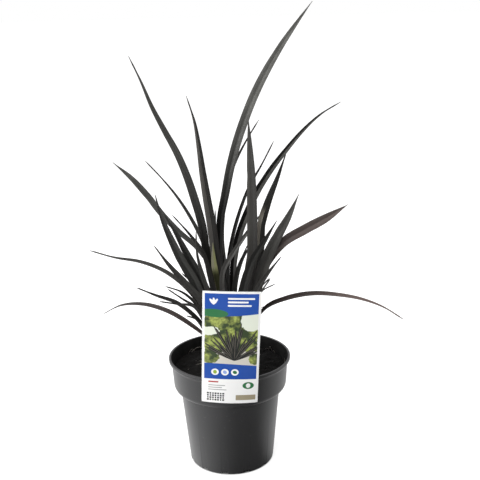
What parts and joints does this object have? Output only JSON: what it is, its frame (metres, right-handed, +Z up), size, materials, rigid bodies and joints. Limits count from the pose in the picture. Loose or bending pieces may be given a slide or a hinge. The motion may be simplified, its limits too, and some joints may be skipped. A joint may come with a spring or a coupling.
{
  "type": "potted new zealand flax",
  "caption": "Clump of dark, sword-shaped flax leaves in fans, growing from a short crown in a round plastic nursery pot, with a card label hooked over its rim.",
  "frame": {"origin": "middle of the pot's underside, on the surface it stands on", "axes": "+Z up; the label faces -Y, +X is to the right of someone looking at the label"},
  "size_m": [0.4154, 0.2632, 0.6342],
  "materials": {
    "pot": "satin moulded black plastic",
    "potting_mix": "damp dark peat and bark with pale fibres",
    "crown": "dry fibrous sheaths",
    "label": "printed card, lightly glossy",
    "leaf_dark": "waxy olive black leaf with fine lengthwise veins",
    "leaf_bronze": "waxy red brown leaf with fine lengthwise veins",
    "leaf_pale": "pale yellow green young leaf"
  },
  "bodies": {
    "root": {"pot": "pot", "potting_mix": "potting_mix", "crown": "crown", "plant_label": "label", "left_shoot_left_leaf_1": "leaf_dark", "left_shoot_left_leaf_2": "leaf_dark", "left_shoot_left_leaf_3": "leaf_dark", "left_shoot_left_leaf_4": "leaf_dark", "left_shoot_right_leaf_1": "leaf_dark", "right_shoot_right_leaf_1": "leaf_dark", "right_shoot_right_leaf_2": "leaf_dark", "right_shoot_right_leaf_3": "leaf_dark", "right_shoot_right_leaf_4": "leaf_dark", "front_fan_left_leaf_1": "leaf_pale", "front_fan_left_leaf_2": "leaf_dark", "front_fan_left_leaf_3": "leaf_dark", "front_fan_right_leaf_1": "leaf_dark", "front_fan_right_leaf_2": "leaf_dark", "near_fan_left_leaf_1": "leaf_dark", "near_fan_left_leaf_2": "leaf_dark", "near_fan_left_leaf_3": "leaf_dark", "near_fan_left_leaf_4": "leaf_dark", "near_fan_left_leaf_5": "leaf_dark", "near_fan_right_leaf_1": "leaf_dark", "near_fan_right_leaf_2": "leaf_dark", "near_fan_right_leaf_3": "leaf_dark", "middle_fan_left_leaf_1": "leaf_dark", "middle_fan_left_leaf_2": "leaf_dark", "middle_fan_left_leaf_3": "leaf_dark", "middle_fan_left_leaf_4": "leaf_bronze", "middle_fan_right_leaf_1": "leaf_dark", "middle_fan_right_leaf_2": "leaf_dark", "middle_fan_right_leaf_3": "leaf_bronze", "middle_fan_right_leaf_4": "leaf_bronze", "far_fan_left_leaf_1": "leaf_dark", "far_fan_left_leaf_2": "leaf_dark", "far_fan_left_leaf_3": "leaf_dark", "far_fan_right_leaf_1": "leaf_dark", "back_fan_left_leaf_1": "leaf_dark", "back_fan_right_leaf_1": "leaf_dark", "back_fan_right_leaf_2": "leaf_dark", "back_fan_right_leaf_3": "leaf_dark", "rear_fan_left_leaf_1": "leaf_dark", "rear_fan_left_leaf_2": "leaf_dark", "rear_fan_left_leaf_3": "leaf_dark", "rear_fan_left_leaf_4": "leaf_dark", "rear_fan_right_leaf_1": "leaf_dark", "rear_fan_right_leaf_2": "leaf_dark", "rear_fan_right_leaf_3": "leaf_dark", "rear_fan_right_leaf_4": "leaf_dark", "rear_fan_right_leaf_5": "leaf_dark"}
  },
  "joints": []
}
